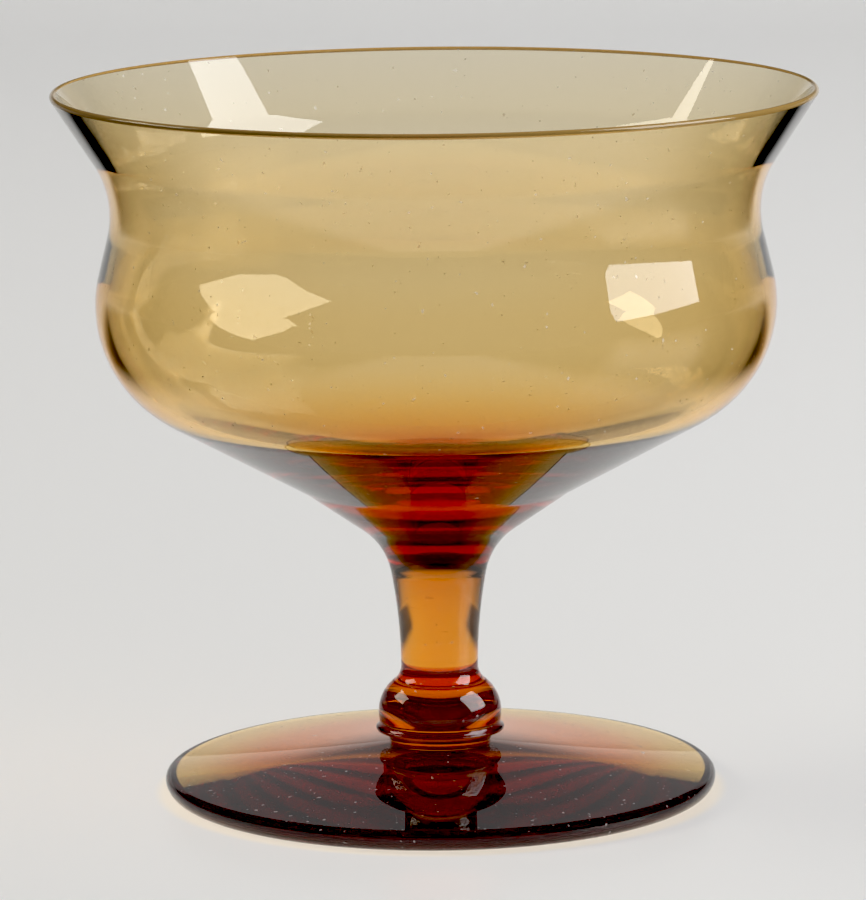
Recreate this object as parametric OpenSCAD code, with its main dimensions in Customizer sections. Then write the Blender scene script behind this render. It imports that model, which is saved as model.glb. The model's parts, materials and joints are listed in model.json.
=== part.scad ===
// Low sherbet glass in amber soda glass.
// A blown bowl, a drawn stem, a ball knop and a disc foot are fused end to end on one upright axis.
// The origin lies on the table under the middle of the foot, and all sizes are in millimetres.

/* [Bowl] */
// Widest diameter of the belly
belly_d = 89.2; // [76:0.2:110]
// Height of the belly's widest place above the stem
belly_h = 36; // [32:0.5:48]
// Radius of the belly's curve
belly_round = 16.8; // [10:0.2:20]
// How far the waist is drawn in from the belly on each side
waist_in = 2.1; // [0.5:0.1:6]
// Height of the waist above the belly's widest place
waist_h = 12.1; // [6:0.1:24]
// Radius of the waist's hollow curve
waist_round = 12.8; // [5:0.2:25]
// How far the rim stands out past the waist on each side
flare = 7.5; // [2:0.1:15]
// Height of the rim above the waist
rim_h = 16; // [8:0.2:30]
// Thickness of the rounded lip
lip_t = 0.9; // [0.6:0.1:1.6]
// Thickness of the wall at the belly
wall = 1.6; // [0.8:0.1:2.2]
// Thickness of the wall at the waist, at most that of the belly
waist_wall = 1.3; // [0.8:0.1:2]
// How far the middle of the floor sinks below the belly's inner curve
floor_dip = 6; // [4:0.1:8.4]
// Radius of the hollow curve that leads from the bowl into the stem
heel_round = 9.4; // [5:0.2:18]
// How far the underside is drawn in between the belly and the heel
flank_dip = 0.65; // [0.1:0.05:0.85]
// Where it is drawn in most, as a share of the way from the belly to the heel
flank_at = 0.7; // [0.4:0.05:0.8]
// Radius of the soft bend at that place
flank_round = 8; // [3:0.5:15]

/* [Stem] */
// Diameter of the stem at its thinnest place
stem_d = 10.2; // [7:0.1:13]
// Height of the stem from the knop to the bowl
stem_h = 14.7; // [8:0.1:60]
// How far the stem swells towards the bowl on each side
stem_swell = 1.2; // [0.3:0.05:3]
// Radius of the hollow neck above the knop
neck_round = 2.6; // [0.8:0.1:4]

/* [Knop] */
// Widest diameter of the ball
knop_d = 16.3; // [14.5:0.1:20]
// Radius of the ball's rounded side
knop_round = 5.3; // [3:0.1:6]
// Height of the ball's widest place above the foot
knop_rise = 4.2; // [3.8:0.1:6]
// How far the thin collar under the ball stands out past it on each side
collar_out = 0.35; // [0.1:0.05:1]
// How far the collar lies below the ball's widest place
collar_drop = 2.1; // [1.4:0.1:2.4]
// Radius of the collar's round edge
collar_round = 0.3; // [0.2:0.05:0.5]
// Radius of the groove between the ball and the collar
groove_round = 1; // [0.6:0.1:2]
// Height of the short base between the collar and the foot
base_h = 1.4; // [0.6:0.1:1.6]
// How far the base is drawn in from the collar on each side
base_in = 1.5; // [0.6:0.1:3]
// How far the base tapers down to its seat on the foot on each side
base_taper = 0.4; // [0:0.1:1]

/* [Foot] */
// Diameter of the foot
foot_d = 73; // [60:0.5:90]
// Height of the foot at the knop
foot_h = 6.2; // [4.5:0.1:12]
// Thickness of the foot's rounded edge
edge_t = 2.8; // [1.6:0.1:3.4]
// Height of the edge's widest place, as a share of that thickness
edge_lift = 0.65; // [0.55:0.01:0.8]
// Radius of the hollow curve of the foot's upper face
foot_hollow = 600; // [160:20:1200]
// Width of the flat ring that the foot rests on
ring_w = 6; // [2:0.5:12]
// Depth of the shallow dish inside that ring
dish_depth = 0.2; // [0.1:0.1:1.5]

/* [Hidden] */
$fn = 96;
amber = [0.86, 0.56, 0.2, 0.6];
arc_step = 3;
same_point = 0.001;
fillet_room = 0.98;
dip_room = 0.03;

belly_r = belly_d / 2;
waist_r = belly_r - waist_in;
rim_r = waist_r + flare;
waist_z = belly_h + waist_h;
bowl_h = waist_z + rim_h;
lip = [rim_r - lip_t / 2, bowl_h - lip_t / 2, lip_t / 2];

knop_r = knop_d / 2;
stem_r = stem_d / 2;
stem_top_r = stem_r + stem_swell;

// The neck and the ball are arcs that touch at the joint between the knop and the stem
neck_facing = acos(1 - (knop_r - stem_r) / (knop_round + neck_round));
neck_rise = neck_round * sin(neck_facing);
ball = [knop_r - knop_round, knop_rise, knop_round];
knop_h = ball.y + knop_round * sin(neck_facing);

// The collar is a thin round edge under the ball, and a short base joins it to the foot
collar_r = knop_r + collar_out;
collar = [collar_r - collar_round, knop_rise - collar_drop, collar_round];
base_r = collar_r - base_in;
seat_r = base_r - base_taper;

// The stem's side is one arc, upright at the neck and leaning out at the bowl
stem_run = stem_h - neck_rise;
stem_lean = 2 * atan(stem_swell / stem_run);
stem_hollow = (stem_run ^ 2 + stem_swell ^ 2) / (2 * stem_swell);

knop_z = foot_h;
stem_z = knop_z + knop_h;
bowl_z = stem_z + stem_h;

// Each curve of the bowl is limited by the room between its neighbours
belly_waist_room = fillet_room * (waist_in ^ 2 + waist_h ^ 2) / (2 * waist_in);
rim_room = fillet_room * ((flare - lip.z) ^ 2 + (lip.y - waist_z) ^ 2 - lip.z ^ 2) / (2 * flare);
waist_share = waist_round / (waist_round + belly_round);
waist_curve = min(waist_round, rim_room, belly_waist_room * waist_share);
belly_curve = min(belly_round, belly_waist_room * (1 - waist_share));
belly = [belly_r - belly_curve, belly_h, belly_curve];
heel_facing = [cos(stem_lean), -sin(stem_lean)];
belly_from_heel = [belly.x - stem_top_r, belly.y];
heel_room = fillet_room * (belly_from_heel * belly_from_heel - belly_curve ^ 2)
    / (2 * (belly_curve + belly_from_heel * heel_facing));
heel_curve = min(heel_round, heel_room);
heel = [stem_top_r + heel_curve * heel_facing.x, heel_curve * heel_facing.y, -heel_curve];

// The underside would run straight from the belly to the heel, and a soft bend draws it in
flank_facing = facing(belly, heel);
flank_look = [cos(flank_facing), sin(flank_facing)];
flank_top = [belly.x, belly.y] + belly_curve * flank_look;
flank_run = [heel.x, heel.y] - heel_curve * flank_look - flank_top;
dip = min(flank_dip, dip_room * norm(flank_run));
bend_c = flank_top + flank_at * flank_run + (flank_round - dip) * flank_look;
bend = [bend_c.x, bend_c.y, -flank_round];

// The floor is a dome centred on the axis that runs into the belly's inner curve
belly_in = belly_curve - wall;
floor_drop = belly_in + floor_dip;
floor_round = (belly.x ^ 2 + floor_drop ^ 2 - belly_in ^ 2) / (2 * floor_dip);
floor_z = belly_h - floor_drop;

// The upper face of the foot is one hollow arc from the seat to the edge.
// The edge is rounded more below its widest place than above it.
seat = [seat_r, foot_h, 0];
edge_z = edge_t * edge_lift;
edge_top = [foot_d / 2 - edge_t + edge_z, edge_z, edge_t - edge_z];
edge_under = [foot_d / 2 - edge_z, edge_z, edge_z];
ring_r = edge_under.x - ring_w;
dish_round = (ring_r ^ 2 + dish_depth ^ 2) / (2 * dish_depth);

// A turned outline is a belt laid round a row of stops, with the glass on its right-hand side.
// A stop is [r, z, radius]: positive where the glass bulges, negative where it is hollow,
// and 0 for a corner.

// Direction in which the glass faces on the straight run between two stops
function facing(a, b) =
    let (run = [b.x - a.x, b.y - a.y])
    atan2(run.y, run.x) + acos(max(-1, min(1, (a.z - b.z) / norm(run))));

// Angle turned from one direction to another: back on a bulge and forward in a hollow
function turn(from, to, radius) =
    radius > 0 ? 1 - (from - to + 721) % 360 : (to - from + 721) % 360 - 1;

function arc(stop, from, to) =
    let (sweep = turn(from, to, stop.z), steps = max(1, ceil(abs(sweep) / arc_step)))
    stop.z == 0
        ? [[stop.x, stop.y]]
        : [
            for (k = [0:steps])
                let (a = from + sweep * k / steps)
                [max(0, stop.x + stop.z * cos(a)), stop.y + stop.z * sin(a)]
        ];

function distinct(points) =
    [for (i = [0:len(points) - 1]) if (i == 0 || norm(points[i] - points[i - 1]) > same_point) points[i]];

function belt(stops, start, end) =
    let (
        last = len(stops) - 1,
        runs = [for (i = [0:last - 1]) facing(stops[i], stops[i + 1])],
        faces = concat([start], runs, [end])
    )
    distinct([for (i = [0:last]) each arc(stops[i], faces[i], faces[i + 1])]);

// Stop of a hollow arc of a given radius that touches two bulges or corners, above them
function hollow_between(a, b, radius) =
    let (
        run = [b.x - a.x, b.y - a.y],
        reach_a = radius + a.z,
        reach_b = radius + b.z,
        along = (run * run + reach_a ^ 2 - reach_b ^ 2) / (2 * norm(run)),
        above = sqrt(reach_a ^ 2 - along ^ 2),
        u = run / norm(run)
    )
    [a.x + along * u.x - above * u.y, a.y + along * u.y + above * u.x, -radius];

module turned(profile) {
    rotate_extrude() polygon(profile);
}

// Disc foot: hollow upper face, round edge, flat resting ring and a shallow dish under the middle
module foot() {
    skin = belt([
        seat,
        hollow_between(seat, edge_top, foot_hollow),
        edge_top,
        edge_under,
        [ring_r, 0, 0],
        [0, dish_depth - dish_round, -dish_round]
    ], 90, -90);
    color(amber) turned(concat([[0, foot_h]], skin));
}

// Ball knop between the foot and the stem, with a thin collar and a short base below it
module knop() {
    skin = belt([
        ball,
        hollow_between(ball, collar, groove_round),
        collar,
        [base_r, base_h, 0],
        [seat_r, 0, 0]
    ], neck_facing, -90);
    color(amber) translate([0, 0, knop_z]) turned(concat([[0, knop_h]], skin, [[0, 0]]));
}

// Drawn stem with a hollow neck at its foot
module stem() {
    skin = belt([
        [stem_r + stem_hollow, neck_rise, -stem_hollow],
        [stem_r + neck_round, neck_rise, -neck_round]
    ], -stem_lean, neck_facing);
    color(amber) translate([0, 0, stem_z]) turned(concat([[0, stem_h]], skin, [[0, 0]]));
}

// Blown bowl: the belt runs up the inside, over the lip and down the outside to the stem
module bowl() {
    waist_c = [waist_r + waist_curve, waist_z];
    skin = belt([
        [0, floor_z + floor_round, -floor_round],
        [belly.x, belly.y, -belly_in],
        [waist_c.x, waist_c.y, waist_curve + min(waist_wall, wall)],
        lip,
        [waist_c.x, waist_c.y, -waist_curve],
        belly,
        bend,
        heel
    ], 90, -stem_lean);
    color(amber) translate([0, 0, bowl_z]) turned(concat(skin, [[0, 0]]));
}

foot();
knop();
stem();
bowl();
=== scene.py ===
import bpy
import bmesh
import json
from math import acos, atan, atan2, ceil, copysign, cos, degrees, hypot, pi, radians, sin, sqrt
from mathutils import Matrix, Vector

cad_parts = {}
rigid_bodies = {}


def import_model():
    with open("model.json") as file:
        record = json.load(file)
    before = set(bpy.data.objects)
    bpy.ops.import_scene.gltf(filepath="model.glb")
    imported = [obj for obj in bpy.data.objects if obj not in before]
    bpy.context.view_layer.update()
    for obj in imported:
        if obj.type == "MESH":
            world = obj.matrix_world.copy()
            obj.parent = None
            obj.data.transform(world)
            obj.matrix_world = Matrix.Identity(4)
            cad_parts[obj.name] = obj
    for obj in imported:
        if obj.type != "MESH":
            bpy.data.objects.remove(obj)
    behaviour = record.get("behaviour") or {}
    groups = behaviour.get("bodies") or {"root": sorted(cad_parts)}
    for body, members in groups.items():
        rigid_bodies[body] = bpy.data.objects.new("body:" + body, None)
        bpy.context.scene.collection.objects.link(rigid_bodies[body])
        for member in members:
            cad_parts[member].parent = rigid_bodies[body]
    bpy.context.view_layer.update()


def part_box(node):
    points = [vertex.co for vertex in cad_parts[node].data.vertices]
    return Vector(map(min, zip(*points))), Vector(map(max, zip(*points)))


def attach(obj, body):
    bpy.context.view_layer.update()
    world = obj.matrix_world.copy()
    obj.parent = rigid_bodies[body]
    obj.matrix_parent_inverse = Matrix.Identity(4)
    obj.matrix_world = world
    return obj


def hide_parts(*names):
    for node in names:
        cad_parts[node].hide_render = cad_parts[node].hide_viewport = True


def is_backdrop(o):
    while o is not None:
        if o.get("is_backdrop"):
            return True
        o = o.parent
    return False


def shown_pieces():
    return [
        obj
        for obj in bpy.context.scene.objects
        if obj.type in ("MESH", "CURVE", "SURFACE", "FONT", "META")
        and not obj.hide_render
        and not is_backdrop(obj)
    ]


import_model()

mm = 0.001
scene = bpy.context.scene

# fineness of the turned outlines
turning = {
    "arcStep": 2.5,       # degrees between points on a tight curve
    "runStep": 0.7,       # mm between points on a long one
    "endStep": 0.02,      # mm of the first and last step, so that a seam keeps the true slope
    "seamGap": 0.01,      # mm left at each fused seam
    "samePlace": 1e-6,    # m, points closer than this are one
    "onSpot": 1e-7,       # m, for points on the axis or in a seam
}

# what the glass of all the pieces shares
amber = {
    "ior": 1.52,
    "density": 400,       # of the tint, per metre
    "smudges": (60, 60, 60),    # cells per metre
    "smudgeRange": (0.56, 0.75),
    "dust": (1500, 1500, 1500),
}


# outline, drawn at y = 0

def vertsIn(geom):
    return [v for v in geom if isinstance(v, bmesh.types.BMVert)]


def axisPoint(height):
    return Vector((0, 0, height)) * mm


def facingBetween(a, b):
    # way the glass looks on the straight run from one stop to the next
    run = atan2(b[1] - a[1], b[0] - a[0])
    return run + acos(max(-1, min(1, (a[2] - b[2]) / hypot(b[0] - a[0], b[1] - a[1]))))


def sweepBetween(start, end, radius):
    # a bulge turns back and a hollow turns forward, by less than a full turn
    slack = radians(1)
    if radius > 0:
        return slack - (start - end + slack) % (2 * pi)
    return (end - start + slack) % (2 * pi) - slack


def hollowBetween(a, b, radius):
    # stop of a hollow that touches two bulges from above
    run = Vector((b[0] - a[0], b[1] - a[1]))
    reachA, reachB = radius + a[2], radius + b[2]
    along = (run.length_squared + reachA ** 2 - reachB ** 2) / (2 * run.length)
    above = sqrt(reachA ** 2 - along ** 2)
    u = run.normalized()
    return (a[0] + along * u.x - above * u.y, a[1] + along * u.y + above * u.x, -radius)


def runTo(bm, tip, place):
    if tip is None:
        return bm.verts.new(place)
    step = place - tip.co
    if step.length < turning["samePlace"]:
        return tip
    new = bmesh.ops.extrude_vert_indiv(bm, verts=[tip])["verts"]
    bmesh.ops.translate(bm, verts=new, vec=step)
    return new[0]


def layOutline(bm, stops, start, end, tip=None):
    # stops are (r, z, radius) in mm: a bulge is positive, a hollow negative, a corner 0
    looks = [start] + [facingBetween(a, b) for a, b in zip(stops, stops[1:])] + [end]
    for (r, z, radius), a, b in zip(stops, looks, looks[1:]):
        tip = runTo(bm, tip, Vector((r + radius * cos(a), 0, z + radius * sin(a))) * mm)
        if radius == 0:
            continue
        sweep = sweepBetween(a, b, radius)
        ends = copysign(turning["endStep"] / abs(radius), sweep)
        for part in (ends, sweep - 2 * ends, ends):
            steps = max(1, ceil(abs(degrees(part)) / turning["arcStep"]),
                        ceil(abs(part * radius) / turning["runStep"]))
            arc = bmesh.ops.spin(bm, geom=[tip], cent=Vector((r, 0, z)) * mm, axis=(0, -1, 0),
                                 angle=part, steps=steps)
            tip = vertsIn(arc["geom_last"])[0]
    return tip


def turnPiece(name, bm, seams, glass, segments, lipFrom=None):
    # a quarter turn of the outline, mirrored twice: one long spin takes far longer
    bmesh.ops.spin(bm, geom=bm.verts[:] + bm.edges[:], cent=(0, 0, 0), axis=(0, 0, 1),
                   angle=pi / 2, steps=segments // 4)
    poles = [v for v in bm.verts if hypot(v.co.x, v.co.y) < turning["onSpot"]]
    bmesh.ops.remove_doubles(bm, verts=poles, dist=turning["samePlace"])
    for axis in ("X", "Y"):
        bmesh.ops.mirror(bm, geom=bm.verts[:] + bm.edges[:] + bm.faces[:], axis=axis,
                         merge_dist=turning["samePlace"])
    bmesh.ops.recalc_face_normals(bm, faces=bm.faces)
    fused = bm.faces.layers.float.new("fused")
    for height, inward in seams:
        rim = set(v for v in bm.verts if abs(v.co.z - height) < turning["onSpot"])
        seamFaces = [f for f in bm.faces if rim.issuperset(f.verts)]
        for f in seamFaces:
            f[fused] = 1
        for e in set(e for f in seamFaces for e in f.edges):
            e.smooth = all(f[fused] == 1 for f in e.link_faces)
        bmesh.ops.translate(bm, verts=list(rim), vec=axisPoint(inward * turning["seamGap"]))
    for f in bm.faces:
        f.smooth = True
    if lipFrom:
        lip = bm.faces.layers.float.new("lip")
        for f in bm.faces:
            f[lip] = f.calc_center_median().z > lipFrom
    mesh = bpy.data.meshes.new(name)
    bm.to_mesh(mesh)
    bm.free()
    mesh.materials.append(glass)
    piece = bpy.data.objects.new(name, mesh)
    scene.collection.objects.link(piece)
    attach(piece, "root")
    print(name, "turned:", len(mesh.polygons), "faces")
    return piece


# nodes that the glass and the table use

def feed(tree, socket, value):
    # a node's output is linked, a number or a colour is set
    if isinstance(value, bpy.types.NodeSocket):
        tree.links.new(value, socket)
    else:
        socket.default_value = value


def addNoise(tree, grain, detail=2):
    # noise on the object's own coordinates, grain in cells per metre along x, y and z
    place = tree.nodes.new("ShaderNodeTexCoord")
    scale = tree.nodes.new("ShaderNodeMapping")
    scale.inputs["Scale"].default_value = grain
    noise = tree.nodes.new("ShaderNodeTexNoise")
    noise.inputs["Scale"].default_value = 1
    noise.inputs["Detail"].default_value = detail
    tree.links.new(place.outputs["Object"], scale.inputs["Vector"])
    tree.links.new(scale.outputs["Vector"], noise.inputs["Vector"])
    return noise.outputs["Fac"]


def addRange(tree, source, fromRange, toRange):
    span = tree.nodes.new("ShaderNodeMapRange")
    span.interpolation_type = "SMOOTHSTEP"
    for key, value in zip(("From Min", "From Max", "To Min", "To Max"), (*fromRange, *toRange)):
        span.inputs[key].default_value = value
    tree.links.new(source, span.inputs["Value"])
    return span.outputs["Result"]


def addMath(tree, operation, *values):
    node = tree.nodes.new("ShaderNodeMath")
    node.operation = operation
    for socket, value in zip(node.inputs, values):
        feed(tree, socket, value)
    return node.outputs[0]


def addMix(tree, factor, a, b):
    node = tree.nodes.new("ShaderNodeMix")
    node.data_type = "RGBA"
    for key, value in (("Factor", factor), ("A", a), ("B", b)):
        feed(tree, node.inputs[key], value)
    return node.outputs["Result"]


def addMark(tree, name):
    # a mark that turnPiece puts on some of the faces
    mark = tree.nodes.new("ShaderNodeAttribute")
    mark.attribute_name = name
    return mark.outputs["Fac"]


def handGlass(name, look):
    # hand-worked glass: amber body, waves in the skin, faint smudges, a few specks of dust, and on the bowl's
    # lip an amber line of painted light
    mat = bpy.data.materials.new(name)
    mat.use_nodes = True
    tree = mat.node_tree
    skin = tree.nodes["Principled BSDF"].inputs
    skin["Base Color"].default_value = (1, 1, 1, 1)
    skin["Transmission Weight"].default_value = 1
    skin["IOR"].default_value = amber["ior"]
    body = tree.nodes.new("ShaderNodeVolumeAbsorption")
    body.inputs["Color"].default_value = (*look["tint"], 1)
    body.inputs["Density"].default_value = amber["density"]
    tree.links.new(body.outputs["Volume"], tree.nodes["Material Output"].inputs["Volume"])
    # a fused seam neither bends nor reflects the light
    tree.links.new(addRange(tree, addMark(tree, "fused"), (0, 1), (amber["ior"], 1)), skin["IOR"])
    bump = tree.nodes.new("ShaderNodeBump")
    bump.inputs["Strength"].default_value = 1
    bump.inputs["Distance"].default_value = look["waveDepth"] * mm
    tree.links.new(addNoise(tree, look["waves"]), bump.inputs["Height"])
    tree.links.new(bump.outputs["Normal"], skin["Normal"])
    smudge = addRange(tree, addNoise(tree, amber["smudges"], detail=4),
                      amber["smudgeRange"], (0, look["smudge"]))
    tree.links.new(smudge, skin["Roughness"])
    clear = addRange(tree, addNoise(tree, amber["dust"], detail=0),
                     look["dustRange"], (1, 1 - look["dustCover"]))
    if "lipPaintedLight" in look:
        # the lip's faces get painted light: an amber tone that shows as an amber line, with less of their
        # glass left clear
        lip = addMark(tree, "lip")
        clear = addMath(tree, "MULTIPLY", clear, addRange(tree, lip, (0, 1), (1, look["lipClear"])))
        tree.links.new(addMix(tree, lip, (1, 1, 1, 1), look["lipPaintedLight"]), skin["Base Color"])
    tree.links.new(clear, skin["Transmission Weight"])
    return mat


# foot

footShape = {
    "edge": 2.8,          # thickness of the round edge
    "lift": 0.65,         # its widest place, as a share of that
    "hollow": 600,        # radius of the upper face
    "ring": 6,            # flat ring it stands on
    "dish": 0.2,          # depth under the middle
    "segments": 480,
    "look": {
        # the glass's own amber, with red absorbed more densely than in the stem: painted shade that darkens
        # the foot
        "tint": (0.91, 0.70, 0.05),
        "waves": (35, 35, 35),
        "waveDepth": 0.02,    # mm
        "smudge": 0.05,
        "dustRange": (0.79, 0.83),
        "dustCover": 0.5,
    },
}


def makeFoot():
    s = footShape
    seat = (seatRadius, footTop, 0)
    widest = s["edge"] * s["lift"]
    edge = (footRadius - s["edge"] + widest, widest, s["edge"] - widest)
    under = (footRadius - widest, widest, widest)
    ringInner = under[0] - s["ring"]
    dishRound = (ringInner ** 2 + s["dish"] ** 2) / (2 * s["dish"])
    bm = bmesh.new()
    tip = runTo(bm, None, axisPoint(footTop))
    layOutline(bm, [
        seat,
        hollowBetween(seat, edge, s["hollow"]),
        edge,
        under,
        (ringInner, 0, 0),
        (0, s["dish"] - dishRound, -dishRound)], pi / 2, -pi / 2, tip)
    piece = turnPiece("glass_foot", bm, [(footTop * mm, -1)],
                      handGlass("footGlass", s["look"]), s["segments"])
    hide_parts("foot")


# knop

knopShape = {
    "radius": 8.15,
    "round": 5.3,
    "rise": 4.2,          # widest place above the foot
    "collarDrop": 2.1,    # thin collar under the ball
    "collarRound": 0.3,
    "groove": 1,
    "baseIn": 1.5,        # short base between the collar and the foot
    "baseHeight": 1.4,
    "baseTaper": 0.4,
    "segments": 360,
    "look": {
        "tint": (0.97, 0.71, 0.05),
        "waves": (150, 150, 90),
        "waveDepth": 0.006,    # mm
        "smudge": 0.03,
        "dustRange": (0.79, 0.83),
        "dustCover": 0.3,
    },
}


def makeKnop():
    s = knopShape
    ball = (s["radius"] - s["round"], knopLow + s["rise"], s["round"])
    collar = (collarRadius - s["collarRound"], ball[1] - s["collarDrop"], s["collarRound"])
    bm = bmesh.new()
    tip = runTo(bm, None, axisPoint(knopTop))
    tip = layOutline(bm, [
        ball,
        hollowBetween(ball, collar, s["groove"]),
        collar,
        (baseRadius, knopLow + s["baseHeight"], 0),
        (seatRadius, knopLow, 0)], neckLook, -pi / 2, tip)
    runTo(bm, tip, axisPoint(knopLow))
    piece = turnPiece("glass_knop", bm, [(knopTop * mm, -1), (knopLow * mm, 1)],
                      handGlass("knopGlass", s["look"]), s["segments"])
    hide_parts("knop")


# stem

stemShape = {
    "radius": 5.1,        # at its thinnest
    "swell": 1.2,         # towards the bowl
    "neck": 2.6,          # hollow above the knop
    "segments": 360,
    "look": {
        "tint": (0.985, 0.735, 0.05),
        "waves": (500, 500, 25),
        "waveDepth": 0.003,    # mm
        "smudge": 0.02,
        "dustRange": (0.79, 0.83),
        "dustCover": 0.2,
    },
}


def makeStem():
    s = stemShape
    side = (stemRun ** 2 + s["swell"] ** 2) / (2 * s["swell"])
    bm = bmesh.new()
    tip = runTo(bm, None, axisPoint(stemTop))
    tip = layOutline(bm, [
        (s["radius"] + side, stemLow + neckRise, -side),
        (s["radius"] + s["neck"], stemLow + neckRise, -s["neck"])], -stemLean, neckLook, tip)
    runTo(bm, tip, axisPoint(stemLow))
    piece = turnPiece("glass_stem", bm, [(stemTop * mm, -1), (stemLow * mm, 1)],
                      handGlass("stemGlass", s["look"]), s["segments"])
    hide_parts("stem")


# bowl

bowlShape = {
    "bellyRadius": 44.6,
    "bellyHeight": 36,    # above the stem
    "bellyRound": 16.8,
    "waistIn": 2.1,
    "waistHeight": 12.1,  # above the belly
    "waistRound": 12.8,
    "lip": 0.9,
    "lipShare": 0.8,      # part of the lip that shows the painted amber line of light
    "wall": 1.6,
    "waistWall": 1.3,
    "floorDip": 6,
    "heel": 9.4,
    "flankDip": 0.65,     # soft bend between belly and heel
    "flankAt": 0.7,
    "flankRound": 8,
    "segments": 320,
    "look": {
        "tint": (0.94, 0.70, 0.07),
        "waves": (40, 40, 25),
        "waveDepth": 0.008,    # mm
        # painted light on the lip: its amber tone, and how much of its glass stays clear
        "lipPaintedLight": (0.62, 0.40, 0.14, 1),
        "lipClear": 0.45,
        "smudge": 0.04,
        "dustRange": (0.82, 0.86),
        "dustCover": 0.3,
    },
}


def makeBowl():
    s = bowlShape
    bellyHeight = bowlLow + s["bellyHeight"]
    waistHeight = bellyHeight + s["waistHeight"]
    bellyCentre = s["bellyRadius"] - s["bellyRound"]
    waistCentre = s["bellyRadius"] - s["waistIn"] + s["waistRound"]
    bellyInner = s["bellyRound"] - s["wall"]
    drop = bellyInner + s["floorDip"]
    floorRound = (bellyCentre ** 2 + drop ** 2 - bellyInner ** 2) / (2 * s["floorDip"])
    lip = s["lip"] / 2
    belly = (bellyCentre, bellyHeight, s["bellyRound"])
    heel = (stemTopRadius + s["heel"] * cos(stemLean), bowlLow - s["heel"] * sin(stemLean), -s["heel"])
    flankLook = facingBetween(belly, heel)
    look = Vector((cos(flankLook), sin(flankLook)))
    flankTop = Vector(belly[:2]) + look * s["bellyRound"]
    flankEnd = Vector(heel[:2]) - look * s["heel"]
    bend = flankTop.lerp(flankEnd, s["flankAt"]) + look * (s["flankRound"] - s["flankDip"])
    bm = bmesh.new()
    tip = layOutline(bm, [
        (0, bellyHeight - drop + floorRound, -floorRound),
        (bellyCentre, bellyHeight, -bellyInner),
        (waistCentre, waistHeight, s["waistRound"] + s["waistWall"]),
        (rimRadius - lip, bowlTop - lip, lip),
        (waistCentre, waistHeight, -s["waistRound"]),
        belly,
        (bend.x, bend.y, -s["flankRound"]),
        heel], pi / 2, -stemLean)
    runTo(bm, tip, axisPoint(bowlLow))
    piece = turnPiece("glass_bowl", bm, [(bowlLow * mm, 1)],
                      handGlass("bowlGlass", s["look"]), s["segments"],
                      (bowlTop - s["lip"] * s["lipShare"]) * mm)
    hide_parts("bowl")


# sizes from the frame, and where the pieces meet

def boxOf(node):
    low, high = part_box(node)
    return high[0] / mm, low[2] / mm, high[2] / mm  # radius, bottom and top in mm


footRadius, _, footTop = boxOf("foot")
collarRadius, knopLow, knopTop = boxOf("knop")
_, stemLow, stemTop = boxOf("stem")
rimRadius, bowlLow, bowlTop = boxOf("bowl")
baseRadius = collarRadius - knopShape["baseIn"]
seatRadius = baseRadius - knopShape["baseTaper"]
neckLook = acos(1 - (knopShape["radius"] - stemShape["radius"])
                / (knopShape["round"] + stemShape["neck"]))
neckRise = stemShape["neck"] * sin(neckLook)
stemRun = stemTop - stemLow - neckRise
stemLean = 2 * atan(stemShape["swell"] / stemRun)
stemTopRadius = stemShape["radius"] + stemShape["swell"]

makeFoot()
makeKnop()
makeStem()
makeBowl()

# table and sweep behind it, in metres

table = {
    "halfWidth": 2.0,
    "front": -0.4,
    "back": 1.2,
    "curve": 0.25,
    "curveSteps": 24,
    "top": 0.6,
    "under": -0.00005,    # just clear of the foot
    "pale": (0.8, 0.8, 0.8, 1),
    "paintedShadeTone": (0.02, 0.02, 0.02, 1),
    "fade": (0.16, 0.34),    # heights between which the sweep darkens with painted shade
    # beside the shot the table is darkened with painted shade: how far out, how wide of straight back, and
    # how deep
    "sideOut": (0.075, 0.13),
    "sideSlope": (0.6, 0.95),
    "sideStart": 0.05,
    "sideLeast": 0.001,      # nearest depth that the slope is worked out for
    "sideDepth": (0.85, 0.4),
    # painted light and shade on the table, round and under the foot: where light thrown through the glass
    # would fall, and where its shadow would
    "paintedLightAndShade": [
        # painted light: a cream ring round the foot's edge
        {"depth": 0, "reach": (0.0366, 0.0384), "tone": (0.90, 0.84, 0.74, 1)},
        # painted light: an amber pool under the foot
        {"depth": 0.002, "reach": (0.022, 0.034), "tone": (0.85, 0.40, 0.18, 1)},
        # painted shadow under the front of the foot
        {"depth": -0.008, "reach": (0.015, 0.026), "tone": (0.2, 0.08, 0.04, 1)},
    ],
    "grain": (6, 6, 6),
    "grainRange": (0.3, 0.7),
    "gloss": (0.29, 0.31),
}


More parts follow.
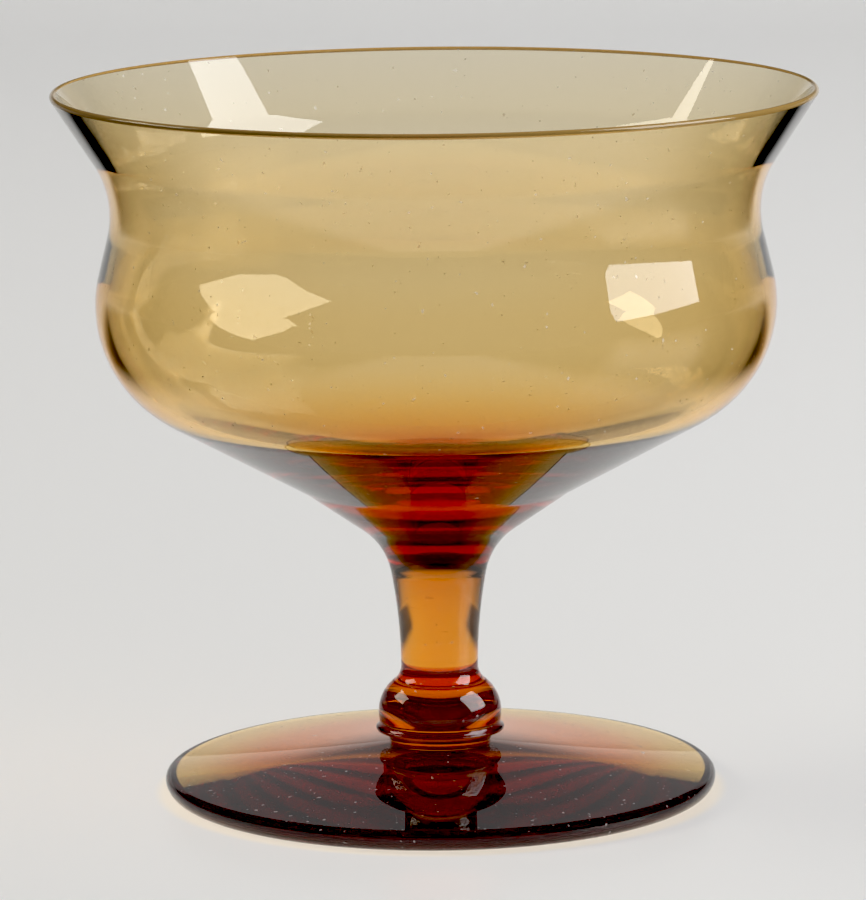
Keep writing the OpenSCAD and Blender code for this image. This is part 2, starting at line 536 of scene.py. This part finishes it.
def tableLook():
    t = table
    mat = bpy.data.materials.new("tableWithPaintedLightAndShade")
    mat.use_nodes = True
    tree = mat.node_tree
    skin = tree.nodes["Principled BSDF"].inputs
    place = tree.nodes.new("ShaderNodeTexCoord").outputs["Object"]
    split = tree.nodes.new("ShaderNodeSeparateXYZ")
    tree.links.new(place, split.inputs[0])
    # painted shade: the table darkens beside the shot
    across = addMath(tree, "ABSOLUTE", split.outputs["X"])
    behind = addMath(tree, "SUBTRACT", split.outputs["Y"], t["sideStart"])
    behind = addMath(tree, "MAXIMUM", behind, t["sideLeast"])
    side = addRange(tree, addMath(tree, "DIVIDE", across, behind), t["sideSlope"], (0, 1))
    side = addMath(tree, "MULTIPLY", side, addRange(tree, across, t["sideOut"], (0, 1)))
    side = addMath(tree, "MULTIPLY", side, addRange(tree, split.outputs["Y"], t["sideDepth"], (0, 1)))
    # painted shade: the sweep darkens with height
    height = addRange(tree, split.outputs["Z"], t["fade"], (0, 1))
    base = addMix(tree, addMath(tree, "MAXIMUM", side, height), t["pale"], t["paintedShadeTone"])
    # painted light and shade, laid over the table's colour round and under the foot
    for paintedPatch in t["paintedLightAndShade"]:
        away = tree.nodes.new("ShaderNodeVectorMath")
        away.operation = "DISTANCE"
        away.inputs[1].default_value = (0, paintedPatch["depth"], 0)
        tree.links.new(place, away.inputs[0])
        base = addMix(tree, addRange(tree, away.outputs["Value"], paintedPatch["reach"], (0, 1)), paintedPatch["tone"], base)
    tree.links.new(base, skin["Base Color"])
    tree.links.new(addRange(tree, addNoise(tree, t["grain"]), t["grainRange"], t["gloss"]), skin["Roughness"])
    return mat


def makeTable():
    t = table
    bm = bmesh.new()
    tip = bm.verts.new((-t["halfWidth"], t["front"], t["under"]))
    tip = runTo(bm, tip, Vector((-t["halfWidth"], t["back"] - t["curve"], t["under"])))
    sweep = bmesh.ops.spin(bm, geom=[tip], cent=(-t["halfWidth"], t["back"] - t["curve"], t["curve"]),
                           axis=(1, 0, 0), angle=pi / 2, steps=t["curveSteps"])
    runTo(bm, vertsIn(sweep["geom_last"])[0], Vector((-t["halfWidth"], t["back"], t["top"])))
    wide = bmesh.ops.extrude_edge_only(bm, edges=bm.edges[:])["geom"]
    bmesh.ops.translate(bm, verts=vertsIn(wide), vec=(2 * t["halfWidth"], 0, 0))
    bmesh.ops.recalc_face_normals(bm, faces=bm.faces)
    for f in bm.faces:
        f.smooth = True
    mesh = bpy.data.meshes.new("table")
    bm.to_mesh(mesh)
    bm.free()
    mesh.materials.append(tableLook())
    obj = bpy.data.objects.new("table", mesh)
    scene.collection.objects.link(obj)
    obj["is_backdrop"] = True


makeTable()

# studio light: azimuth from the camera, positive to the right
# a lamp doesn't light what it misses, and one that passes throws no shadow of the glass

lamps = {
    "rightBox": {"azimuth": 80, "height": 31, "away": 1.2, "size": (0.85, 0.95), "power": 16.5,
                 "tone": (1, 1, 1), "misses": ["glass_foot"], "passes": True, "mirrored": True},
    "leftBox": {"azimuth": -100, "height": 32, "away": 1.2, "size": (0.66, 0.38), "power": 4,
                "tone": (1, 0.93, 0.78), "misses": ["glass_foot"], "passes": False, "mirrored": True},
    "fill": {"azimuth": 180, "height": 75, "away": 2.0, "size": (2.0, 2.0), "power": 21.5,
             "tone": (1, 1, 1), "misses": [], "passes": True, "mirrored": False},
    "sheen": {"azimuth": 180, "height": 16, "away": 1.1, "size": (1.4, 0.31), "power": 0.5,
              "tone": (1, 1, 1), "misses": ["glass_bowl", "glass_stem", "glass_knop", "table"],
              "passes": False, "mirrored": True},
}
lampAim = Vector((0, 0, 0.05))
roomGlow = 0.05


def linkSet(name, objects):
    # the given objects, left out of what a lamp lights or is blocked by
    links = bpy.data.collections.new(name)
    for obj in objects:
        links.objects.link(obj)
    for entry in links.collection_objects:
        entry.light_linking.link_state = "EXCLUDE"
    return links


glassPieces = [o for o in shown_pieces() if o.name.startswith("glass_")]
for name, lamp in lamps.items():
    light = bpy.data.lights.new(name, "AREA")
    light.shape = "RECTANGLE"
    light.size, light.size_y = lamp["size"]
    light.energy = lamp["power"]
    light.color = lamp["tone"]
    obj = bpy.data.objects.new(name, light)
    az, el = radians(lamp["azimuth"]), radians(lamp["height"])
    obj.location = lampAim + lamp["away"] * Vector((sin(az) * cos(el), -cos(az) * cos(el), sin(el)))
    obj.rotation_euler = (lampAim - obj.location).to_track_quat("-Z", "Y").to_euler()
    obj.visible_camera = False
    obj.visible_glossy = lamp["mirrored"]
    obj.visible_transmission = False
    scene.collection.objects.link(obj)
    missed = [bpy.data.objects[n] for n in lamp["misses"]]
    if missed:
        obj.light_linking.receiver_collection = linkSet(name + "Misses", missed)
    if lamp["passes"]:
        obj.light_linking.blocker_collection = linkSet(name + "Passes", glassPieces)

room = bpy.data.worlds.new("room")
room.use_nodes = True
room.node_tree.nodes["Background"].inputs["Color"].default_value = (1, 1, 1, 1)
room.node_tree.nodes["Background"].inputs["Strength"].default_value = roomGlow
scene.world = room
print("table and", len(lamps), "lamps placed")

# camera

shot = {
    "focal": 5735.9,      # pixels
    "imageHeight": 900,
    "sensor": 36,         # mm
    "nearest": 0.01,      # m
    "away": 742.9,        # mm
    "height": 178.5,
    "pitch": 0.1772,      # radians, looking down
    "roll": -0.0098,
    "yaw": -0.0008,
    "black": 0.025,       # deep blacks, as in the photograph
}

lens = bpy.data.cameras.new("shot")
lens.sensor_fit = "VERTICAL"
lens.sensor_height = shot["sensor"]
lens.lens = shot["focal"] / shot["imageHeight"] * lens.sensor_height
lens.clip_start = shot["nearest"]
camera = bpy.data.objects.new("shot", lens)
scene.collection.objects.link(camera)
turn = (Matrix.Rotation(-shot["yaw"], 4, "Z") @ Matrix.Rotation(pi / 2 - shot["pitch"], 4, "X")
        @ Matrix.Rotation(shot["roll"], 4, "Z"))
camera.matrix_world = Matrix.Translation(Vector((0, -shot["away"], shot["height"])) * mm) @ turn
scene.camera = camera

scene.view_settings.view_transform = "Standard"
scene.view_settings.use_curve_mapping = True
grade = scene.view_settings.curve_mapping
grade.black_level = (shot["black"], shot["black"], shot["black"])
grade.update()

# light has to cross many walls of glass
scene.cycles.max_bounces = 48
scene.cycles.transmission_bounces = 48
scene.cycles.glossy_bounces = 24
scene.cycles.diffuse_bounces = 4
scene.cycles.caustics_refractive = True
scene.cycles.caustics_reflective = True
print("camera set")
